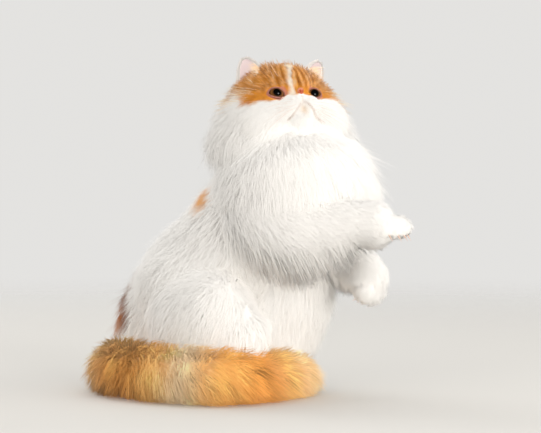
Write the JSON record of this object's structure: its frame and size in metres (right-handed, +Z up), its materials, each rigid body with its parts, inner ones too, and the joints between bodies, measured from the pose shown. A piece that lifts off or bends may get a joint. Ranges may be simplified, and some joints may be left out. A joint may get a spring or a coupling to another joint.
{
  "type": "sitting long-haired cat",
  "caption": "Life-size long-haired flat-faced cat sitting up on its haunches, forepaws raised, head turned and tipped up, plumed tail wrapped round one side.",
  "frame": {"origin": "on the floor, on the flat under the pelvis where the rump rests", "axes": "+X is where the body faces, +Y is the cat's left side, +Z is up"},
  "size_m": [0.4193, 0.2914, 0.4068],
  "materials": {
    "eye": "wet, dark brown iris round a wide black pupil",
    "nose_leather": "moist fine-grained salmon pink skin",
    "ear_fur": "thin pink skin with sparse pale hair",
    "head_fur": "short dense fur, red tabby mask over a white blaze and muzzle",
    "white_fur": "long soft white fur",
    "red_fur": "long soft red fur with cream bands"
  },
  "bodies": {
    "root": {"eye_left": "eye", "eye_right": "eye", "nose": "nose_leather", "ear_left": "ear_fur", "ear_right": "ear_fur", "head": "head_fur", "neck_ruff": "white_fur", "torso": "white_fur", "foreleg_left": "white_fur", "foreleg_right": "white_fur", "forepaw_left": "white_fur", "forepaw_right": "white_fur", "thigh_left": "white_fur", "thigh_right": "white_fur", "hindfoot_left": "white_fur", "hindfoot_right": "white_fur", "tail_base": "red_fur", "tail_middle": "red_fur", "tail_tip": "red_fur"}
  },
  "joints": []
}
